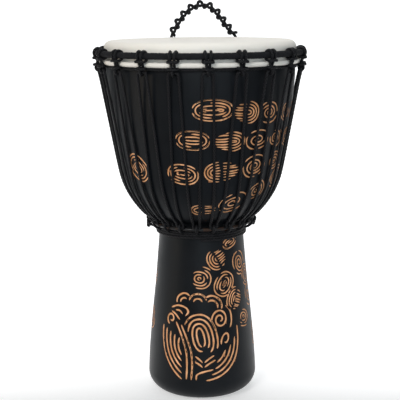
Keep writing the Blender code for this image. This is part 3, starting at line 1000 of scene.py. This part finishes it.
class DJEMBE_OT_head(Operator):
    """Stretch the goatskin over the rim and round its ring"""

    bl_idname = "djembe.head"
    bl_label = "Goatskin head"

    def execute(self, context):
        settings = context.scene.djembe_head
        skin = shared_material("goatskin", lambda: skin_material(settings))
        thick = settings.thickness
        ring = (FLESH_RADIUS, FLESH_Z)
        inner, tuck = RIM_ROUNDING + 0.0003, WIRE + 0.0003
        side = RIM_CENTRE[0] + inner
        flat = np.linspace(0.01, RIM_CENTRE[0] - 0.004, 15)
        outline = np.vstack([
            [(0.0004, HEIGHT)], [(radius, HEIGHT) for radius in flat],
            arc(RIM_CENTRE, inner + thick, 90, 0, 16),
            [(side + thick, z) for z in np.linspace(0.586, 0.570, 7)],
            arc(ring, tuck, 180, 405, 20), arc(ring, tuck + thick, 405, 180, 24),
            [(side, z) for z in np.linspace(0.570, 0.586, 7)],
            arc(RIM_CENTRE, inner, 0, 90, 16),
            [(radius, HEIGHT - thick) for radius in flat[::-1]], [(0.0004, HEIGHT - thick)]])

        def pleats(angle, radius, height):
            low = np.clip((0.588 - height) / 0.02, 0, 1) * (radius > 0.1585)
            wave = (np.sin(angle * 67) + 0.6 * np.sin(angle * 113 + 1) + 0.5 * np.sin(angle * 29))
            return radius + 0.00013 * low * wave, height

        head = build_mesh("goatskin_drumhead", [turned_parts(outline, 360, 0.0, pleats)], skin)
        head.data.set_sharp_from_angle(angle=math.radians(50))
        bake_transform(head)
        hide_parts("goatskin_head", "goatskin_skirt")
        return {"FINISHED"}


class DJEMBE_OT_rings(Operator):
    """Bend the three steel rings and wind the crown ring in cloth"""

    bl_idname = "djembe.rings"
    bl_label = "Rings"

    def execute(self, context):
        settings = context.scene.djembe_rope
        steel = shared_material("lacquered_steel", steel_material)
        cloth = shared_material("cotton_strip", lambda: cloth_material(settings))
        rods = (
            ("crown_ring_rod", "crown_ring", CROWN_RADIUS, CROWN_Z, "tension_rings"),
            ("flesh_ring_rod", "flesh_ring", FLESH_RADIUS, FLESH_Z, "tension_rings"),
            ("bottom_ring_rod", "bottom_ring", BOTTOM_RADIUS, BOTTOM_Z, "shell"),
        )
        for name, node, radius, height, body in rods:
            outline = arc((radius, height), WIRE * 0.98, 0, 345, 23)
            rod = build_mesh(name, [turned_parts(outline, 240)], steel)
            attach(rod, body)
            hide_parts(node)
        wound = self.wound_strip(cloth)
        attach(wound, "tension_rings")
        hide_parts("crown_ring_wrap")
        return {"FINISHED"}

    @staticmethod
    def wound_strip(cloth):
        """Cloth wound on the slant, so each turn overlaps the one before."""
        centre = (CROWN_RADIUS, CROWN_Z)
        outline = np.vstack([
            arc(centre, WRAP_THICK, -166, 166, 26), arc(centre, WRAP_THICK - 0.001, 166, -166, 18)])

        def lap(angle, radius, height):
            away_r, away_z = radius - CROWN_RADIUS, height - CROWN_Z
            around = np.arctan2(away_z, away_r)
            share = (CLOTH_TURNS * angle / math.tau + around / math.tau) % 1
            edge = np.clip((share - 0.06) / 0.10, 0, 1)
            outer = np.hypot(away_r, away_z) > WRAP_THICK - 0.0004
            fold = np.sin(angle * 211 + around * 3) * 0.00006
            grow = 1 + outer * ((edge * (1 - 0.55 * share) - 0.5) * 0.10 + fold / WRAP_THICK)
            return CROWN_RADIUS + away_r * grow, CROWN_Z + away_z * grow

        parts = turned_parts(outline, 1260, FIRST_KNOT, lap)
        return build_mesh("crown_ring_cloth", [parts], cloth)


class DJEMBE_OT_crown_knots(Operator):
    """Tie the loops on the crown ring and lay the cradle rope under the head's edge"""

    bl_idname = "djembe.crown_knots"
    bl_label = "Crown knots"

    def execute(self, context):
        settings = context.scene.djembe_rope
        rope = shared_material("braided_rope", lambda: rope_material(settings))
        for k in range(KNOTS):
            angle = FIRST_KNOT + k * KNOT_STEP
            parts = []
            for line, closed in ((HITCH, True), (BINDING, False)):
                places = [at_angle(radius, height, angle, side) for radius, height, side in line]
                fine = smooth_line(places, closed, 0.0009)
                parts.append(tube_parts(fine, settings.radius, 12, closed, 0.10))
            knot = build_mesh(f"crown_knot_{k + 1:02d}", parts, rope)
            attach(knot, "tension_rings")
            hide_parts(f"crown_loop_{k + 1:02d}")
        ring = []
        for i in range(12 * KNOTS):
            angle = FIRST_KNOT + math.tau * i / (12 * KNOTS)
            near = math.exp(-((((i + 6) % 12 - 6) / 2.1) ** 2))
            ring.append(at_angle(CRADLE_RADIUS + 0.0022 * near, CRADLE_Z - 0.0006 + 0.0022 * near,
                                 angle))
        cradle = rope_object("cradle_cord", [ring], rope, settings.radius)
        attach(cradle, "tension_rings")
        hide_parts("cradle_rope")
        return {"FINISHED"}


# One crown knot: (radius, height, sideways) along a rope that hitches round the crown ring,
# crosses under its own bight and goes down to hold the lacing.
HALF_HITCH = (
    (0.1764, 0.5722, 0.0), (0.1762, 0.5721, 0.0036), (0.1748, 0.5719, 0.0068),
    (0.1714, 0.5722, 0.0078), (0.1670, 0.5735, 0.0074), (0.1634, 0.5765, 0.0066),
    (0.1620, 0.5808, 0.0058), (0.1638, 0.5856, 0.0050), (0.1686, 0.5877, 0.0044),
    (0.1735, 0.5856, 0.0041), (0.1756, 0.5808, 0.0037), (0.1746, 0.5762, 0.0032),
    (0.1722, 0.5722, 0.0027), (0.1704, 0.5680, 0.0025),
)
BIGHT = (
    (0.1684, 0.5635, 0.0022), (0.1664, 0.5600, 0.0006), (0.1652, 0.5560, 0.0),
    (0.1662, 0.5527, 0.0), (0.1690, 0.5513, 0.0), (0.1718, 0.5527, 0.0),
    (0.1730, 0.5560, -0.0004), (0.1720, 0.5605, -0.0016), (0.1706, 0.5640, -0.0024),
)
HITCH = HALF_HITCH + BIGHT + tuple((r, z, -side) for r, z, side in HALF_HITCH[:0:-1])
# The short turn that binds each knot's two strands above the lacing.
BINDING = (
    (0.1668, 0.5622, -0.0058), (0.1700, 0.5618, -0.0079), (0.1737, 0.5613, -0.0064),
    (0.1754, 0.5610, -0.0030), (0.1757, 0.5609, 0.0), (0.1754, 0.5610, 0.0030),
    (0.1737, 0.5613, 0.0064), (0.1700, 0.5618, 0.0079), (0.1668, 0.5622, 0.0058),
)


def lacing_line(gap):
    """The zigzag of the lacing: down from a knot on each side to the loops at the waist."""
    line = []
    top_turn = math.asin(SPREAD_TOP / TOP_EYE[0])
    bottom_turn = KNOT_STEP / 2 - math.asin(SPREAD_BOTTOM / BOTTOM_EYE[0])
    z_top, z_bottom = 0.5524, 0.3032
    heights = (0.432, 0.418, 0.404, 0.388, 0.372, 0.357, 0.343, 0.331, 0.321, 0.3145)
    straight = (0.535, 0.505, 0.475, 0.450)
    start = (TOP_EYE[0] - 0.0008, z_top)
    for k in range(KNOTS):
        knot = FIRST_KNOT + k * KNOT_STEP
        loop = knot + KNOT_STEP / 2
        half = [(*TOP_EYE, knot, 0.0),
                (TOP_EYE[0], TOP_EYE[1] - 0.0002, knot, 0.0040),
                (TOP_EYE[0] - 0.0003, TOP_EYE[1] - 0.0014, knot, SPREAD_TOP - 0.0012),
                (start[0], z_top - 0.0016, knot, SPREAD_TOP)]
        out, up = outer_normal(heights[0])
        touch = (outer_radius(heights[0]) + out * gap, heights[0] + up * gap)
        for z in straight:
            share = (start[1] - z) / (start[1] - touch[1])
            half.append((start[0] + (touch[0] - start[0]) * share, z, None, 0.0))
        for z in heights:
            out, up = outer_normal(z)
            half.append((outer_radius(z) + out * gap, z + up * gap, None, 0.0))
        half += [(0.0918, 0.3088, loop, -SPREAD_BOTTOM), (0.0886, z_bottom, loop, -SPREAD_BOTTOM),
                 (BOTTOM_EYE[0], BOTTOM_EYE[1] + 0.0008, loop, -0.0040)]
        places = []
        for radius, z, angle, side in half:
            if angle is None:
                share = (z_top - z) / (z_top - z_bottom)
                angle = knot + top_turn + (bottom_turn - top_turn) * share
            places.append(at_angle(radius, z, angle, side))
        line += places + [at_angle(*BOTTOM_EYE, loop)]
        across = np.array((math.cos(loop), math.sin(loop), 0.0))
        back = [tuple(np.array(p) - 2 * across.dot(p) * across) for p in places]
        line += back[:0:-1]
    return line


class DJEMBE_OT_lacing(Operator):
    """Run the lacing rope between the crown knots and the loops at the waist"""

    bl_idname = "djembe.lacing"
    bl_label = "Lacing"

    def execute(self, context):
        settings = context.scene.djembe_rope
        rope = shared_material("braided_rope", lambda: rope_material(settings))
        line = lacing_line(settings.radius + 0.0003)
        lacing = rope_object("lacing", [line], rope, settings.radius, sides=10, relief=0.07,
                             step=0.0014)
        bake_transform(lacing)
        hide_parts("lacing_rope")
        return {"FINISHED"}


class DJEMBE_OT_waist(Operator):
    """Loop the bottom ring, wind the waist and tie off the rope ends"""

    bl_idname = "djembe.waist"
    bl_label = "Waist ropes"

    def execute(self, context):
        settings = context.scene.djembe_rope
        rope = shared_material("braided_rope", lambda: rope_material(settings))
        clear = 2 * settings.radius + 0.0004
        ends = ((BOTTOM_EYE, clear, -90), ((BOTTOM_RADIUS, BOTTOM_Z),
                                           WIRE + settings.radius + 0.0003, 90))
        lean = math.degrees(math.atan2(BOTTOM_EYE[1] - BOTTOM_Z, BOTTOM_EYE[0] - BOTTOM_RADIUS))
        section = np.vstack([arc(centre, radius, lean + turn, lean + turn + 180, 5)
                             for centre, radius, turn in ends])
        for k in range(KNOTS):
            angle = FIRST_KNOT + (k + 0.5) * KNOT_STEP
            line = [at_angle(radius, height, angle) for radius, height in section]
            loop = rope_object(f"waist_loop_{k + 1:02d}", [line], rope, settings.radius)
            self.place(loop, f"bottom_loop_{k + 1:02d}")
        radius = WINDING_RADIUS + settings.radius + 0.0006
        winding = []
        for i in range(int(WINDING_TURNS * 48) + 1):
            turn = i / 48
            height = WINDING_START + WINDING_PITCH * turn
            winding.append(at_angle(radius, height, turn * math.tau))
        wrap = rope_object("waist_winding", [winding], rope, settings.radius, closed=False)
        self.place(wrap, "waist_wrap_rope")
        for name, node, angle in (("lacing_knot", "lacing_end_knot", -86),
                                  ("winding_knot", "wrap_end_knot", 94)):
            knot = self.tied_knot(name, node, math.radians(angle), rope, settings.radius)
            self.place(knot, node)
        return {"FINISHED"}

    @staticmethod
    def place(obj, node):
        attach(obj, "shell")
        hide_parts(node)

    @staticmethod
    def tied_knot(name, node, angle, rope, radius):
        """An overhand knot whose flat side faces outwards."""
        low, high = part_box(node)
        centre = (low + high) / 2
        line = []
        for t in np.linspace(0, math.tau, 48, endpoint=False):
            side = 0.00155 * (math.sin(t) + 2 * math.sin(2 * t))
            rise = 0.00155 * (math.cos(t) - 2 * math.cos(2 * t))
            depth = 0.0016 * -math.sin(3 * t)
            spot = at_angle(depth, rise, angle, side)
            line.append((centre.x + spot[0], centre.y + spot[1], centre.z + spot[2]))
        return rope_object(name, [line], rope, radius * 0.92, step=0.0006)


class DJEMBE_OT_handle(Operator):
    """Twist the rope handle and tie it to the crown ring"""

    bl_idname = "djembe.handle"
    bl_label = "Handle"

    def execute(self, context):
        settings = context.scene.djembe_rope
        rope = shared_material("braided_rope", lambda: rope_material(settings))
        radius = settings.handle_radius
        route = np.array([(x * MM, HANDLE_Y, z * MM) for x, z in HANDLE_ROUTE])
        arch = smooth_line(route[HANDLE_ARCH], step=0.0008)
        outward, turns = self.turning(arch)
        waved = arch - outward * STRAND_SWING * np.cos(turns)[:, None]
        start, stop = HANDLE_ARCH.start, HANDLE_ARCH.stop
        core_line = np.vstack([route[:start], waved[4:-4:6], route[stop:]])
        core = rope_object("handle_core", [core_line], rope, radius, closed=False)
        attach(core, "handle")
        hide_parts("handle_core_rope")
        hitches = rope_object("handle_hitches", [self.hitches(arch, outward, turns)], rope, radius,
                              closed=False, step=0.0007)
        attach(hitches, "handle")
        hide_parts("handle_hitch_rope")
        for end, direction in ((0, 1), (-1, -1)):
            stopper = rope_object(f"handle_stopper_{'left' if end == 0 else 'right'}",
                                  [self.stopper(route[end], direction)], rope, radius,
                                  closed=False)
            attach(stopper, "handle")
        for node in ("handle_tie_left", "handle_tie_right"):
            tie = self.tie(node, rope, settings.radius)
            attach(tie, "tension_rings")
            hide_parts(node)
        return {"FINISHED"}

    @staticmethod
    def turning(arch):
        """The arch's outward direction and how far the second strand has turned."""
        tangents = np.gradient(arch, axis=0)
        tangents /= np.linalg.norm(tangents, axis=1)[:, None]
        outward = np.cross((0, 1.0, 0), tangents)
        outward *= np.sign(outward[len(arch) // 2, 2])
        return outward, math.tau * HITCH_TURNS * np.linspace(0, 1, len(arch)) + math.pi

    @staticmethod
    def hitches(arch, outward, turns):
        """The strand wound round the arch, standing off on the outer side of each turn."""
        lift = STRAND_SWING + STRAND_REACH * np.cos(turns)
        aside = STRAND_REACH * np.sin(turns)
        return arch + outward * lift[:, None] + aside[:, None] * np.array((0, 1.0, 0))

    @staticmethod
    def stopper(end, direction):
        """A stopper knot: the rope coiled twice round its own end."""
        line = []
        for t in np.linspace(0, 2.2, 40):
            angle = math.tau * t
            line.append((end[0] + direction * (0.0008 + 0.0017 * t),
                         end[1] + 0.0031 * math.cos(angle), end[2] + 0.0031 * math.sin(angle)))
        return line

    @staticmethod
    def tie(node, rope, radius):
        low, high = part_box(node)
        x = (low.x + high.x) / 2
        ring_y = math.sqrt(CROWN_RADIUS**2 - x * x)
        lean = math.degrees(math.atan2(HANDLE_Z - CROWN_Z, HANDLE_Y - ring_y))
        small = arc((HANDLE_Y, HANDLE_Z), 0.0043, lean - 90, lean + 90, 5)
        large = arc((ring_y, CROWN_Z), 0.0070, lean + 90, lean + 270, 7)
        line = [(x, y, z) for y, z in np.vstack([small, large])]
        name = node.replace("tie", "lashing")
        return rope_object(name, [line], rope, radius)


class DJEMBE_OT_stage(Operator):
    """Lay the floor, set the lights and place the camera"""

    bl_idname = "djembe.stage"
    bl_label = "Floor, lights and camera"

    def execute(self, context):
        settings = context.scene.djembe_stage
        material, tree, shader = new_material("paper_sweep", settings.floor, 0.9)
        place = add_node(tree, "ShaderNodeTexCoord").outputs["Object"]
        depth = add_node(tree, "ShaderNodeSeparateXYZ", {"Vector": place}).outputs[1]
        behind = add_node(tree, "ShaderNodeMapRange", {
            "Value": depth, "From Min": -0.35, "From Max": 0.15, "To Min": 0.0, "To Max": 1.0})
        shade = colour_between(tree, behind.outputs[0], scaled(settings.floor, 0.3),
                               settings.floor)
        patches = group_node(tree, "blotches", Scale=3.0, Contrast=0.6)
        tone = colour_between(tree, value_between(tree, patches.outputs[0], 0.0, 0.04), shade,
                              scaled(settings.floor, 0.8))
        tree.links.new(tone, shader.inputs["Base Color"])
        shader.inputs["Emission Color"].default_value = (1, 1, 1, 1)
        across = maths(tree, "ABSOLUTE", add_node(
            tree, "ShaderNodeSeparateXYZ", {"Vector": place}).outputs[0])
        middle_part = add_node(tree, "ShaderNodeMapRange", {
            "Value": across, "From Min": 1.4, "From Max": 2.0, "To Min": 1.0, "To Max": 0.0})
        glow = maths(tree, "MULTIPLY", behind.outputs[0],
                     maths(tree, "MULTIPLY", middle_part.outputs[0], settings.glow))
        tree.links.new(glow, shader.inputs["Emission Strength"])
        bend = arc((2.5, 2.0), 2.0, -90, 0, 24)
        sweep = [(-9.0, 0.0), (-0.35, 0.0), (0.15, 0.0)] + bend.tolist() + [(4.5, 7.0)]
        corners = [(x, y, z) for y, z in sweep for x in (-12, 12)]
        faces = [(2 * i, 2 * i + 1, 2 * i + 3, 2 * i + 2) for i in range(len(sweep) - 1)]
        floor = build_mesh("paper_sweep", [(np.array(corners, float), faces, [])], material)
        self.lights(context)
        self.camera(context, settings)
        context.scene.view_settings.view_transform = "Standard"
        context.scene.view_settings.look = "None"
        return {"FINISHED"}

    @staticmethod
    def lights(context):
        world = bpy.data.worlds.new("studio_sky")
        world.use_nodes = True
        sky = world.node_tree.nodes["Background"]
        sky.inputs[0].default_value = (0.93, 0.97, 1.0, 1)
        sky.inputs[1].default_value = 0.34
        context.scene.world = world
        soft = (
            ("key", (-0.8, -1.9, 1.5), 0.7, 20, (1.0, 0.985, 0.96)),
            ("front", (0.35, -2.9, 0.62), 1.8, 18, (0.80, 0.92, 1.0)),
            ("left", (-1.7, -0.62, 0.30), 0.8, 4, (1.0, 0.86, 0.68)),
            ("right", (1.5, -1.5, 0.8), 0.8, 4, (0.86, 0.93, 1.0)),
            ("top", (0.2, 0.2, 2.3), 1.2, 10, (1.0, 1.0, 1.0)),
        )
        for name, place, size, power, colour in soft:
            lamp = bpy.data.lights.new(name, "AREA")
            lamp.shape = "DISK"
            lamp.size = size
            lamp.energy = power
            lamp.color = colour
            holder = bpy.data.objects.new(name, lamp)
            holder.location = place
            aim = np.array((0, 0, 0.35)) - np.array(place)
            flat = math.hypot(aim[0], aim[1])
            holder.rotation_euler = (math.atan2(flat, -aim[2]), 0, math.atan2(-aim[0], aim[1]))
            context.scene.collection.objects.link(holder)

    @staticmethod
    def camera(context, settings):
        data = bpy.data.cameras.new("camera")
        data.lens = settings.lens
        data.sensor_width = 36
        camera = bpy.data.objects.new("camera", data)
        camera.matrix_world = (
            Matrix.Translation((settings.sideways, -settings.distance, settings.camera_height))
            @ Matrix.Rotation(math.pi / 2 - settings.pitch, 4, "X")
            @ Matrix.Rotation(settings.roll, 4, "Z"))
        context.scene.collection.objects.link(camera)
        context.scene.camera = camera


class DJEMBE_PT_panel(Panel):
    """The djembe's steps and settings"""

    bl_idname = "DJEMBE_PT_panel"
    bl_label = "Djembe"
    bl_space_type = "VIEW_3D"
    bl_region_type = "UI"
    bl_category = "Djembe"

    def draw(self, context):
        for group, names in PANEL_ROWS:
            settings = getattr(context.scene, group)
            for name in names:
                self.layout.prop(settings, name)
        for operator in STEPS:
            self.layout.operator(operator.bl_idname)


PANEL_ROWS = (
    ("djembe_shell", ("paint", "wood", "bore", "groove_width", "groove_pitch", "segments")),
    ("djembe_head", ("skin", "thickness")),
    ("djembe_rope", ("rope", "cloth", "radius", "handle_radius")),
    ("djembe_stage", (
        "floor", "glow", "distance", "camera_height", "pitch", "roll", "sideways", "lens")),
)
STEPS = (
    DJEMBE_OT_stage, DJEMBE_OT_shell, DJEMBE_OT_head, DJEMBE_OT_rings, DJEMBE_OT_crown_knots,
    DJEMBE_OT_lacing, DJEMBE_OT_waist, DJEMBE_OT_handle,
)
SETTINGS = (
    ("djembe_shell", DjembeShellSettings), ("djembe_head", DjembeHeadSettings),
    ("djembe_rope", DjembeRopeSettings), ("djembe_stage", DjembeStageSettings),
)


def register():
    for name, group in SETTINGS:
        bpy.utils.register_class(group)
        setattr(bpy.types.Scene, name, PointerProperty(type=group))
    for cls in STEPS + (DJEMBE_PT_panel,):
        bpy.utils.register_class(cls)


def unregister():
    for cls in (DJEMBE_PT_panel,) + STEPS[::-1]:
        bpy.utils.unregister_class(cls)
    for name, group in SETTINGS[::-1]:
        delattr(bpy.types.Scene, name)
        bpy.utils.unregister_class(group)


def main():
    register()
    for step in STEPS:
        area, action = step.bl_idname.split(".")
        getattr(getattr(bpy.ops, area), action)()


if __name__ == "__main__":
    main()
